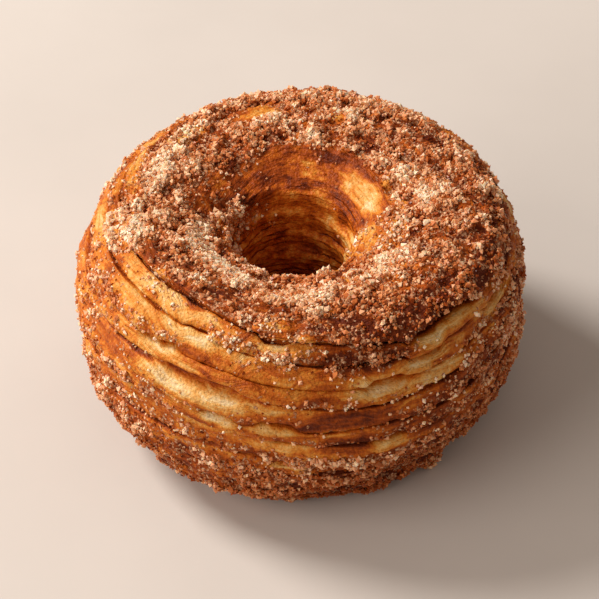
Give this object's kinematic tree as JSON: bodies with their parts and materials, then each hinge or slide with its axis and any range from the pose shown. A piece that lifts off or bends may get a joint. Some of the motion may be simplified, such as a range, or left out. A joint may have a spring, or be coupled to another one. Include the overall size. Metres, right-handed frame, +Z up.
{
  "type": "croissant doughnut",
  "caption": "Ring of fried laminated dough with an open centre hole, gaping leaves round its outer wall and a coarse cinnamon sugar crust; rests flat on its underside.",
  "frame": {"origin": "middle of the base, on the plane the ring rests on", "axes": "+Z up through the hole, -Y towards the viewer, +X to the viewer's right"},
  "size_m": [0.0892, 0.0892, 0.0484],
  "materials": {
    "croissant_doughnut": "matt, reddish brown fried crust under a coat of cinnamon sugar"
  },
  "bodies": {
    "root": {"croissant_doughnut": "croissant_doughnut"}
  },
  "joints": []
}
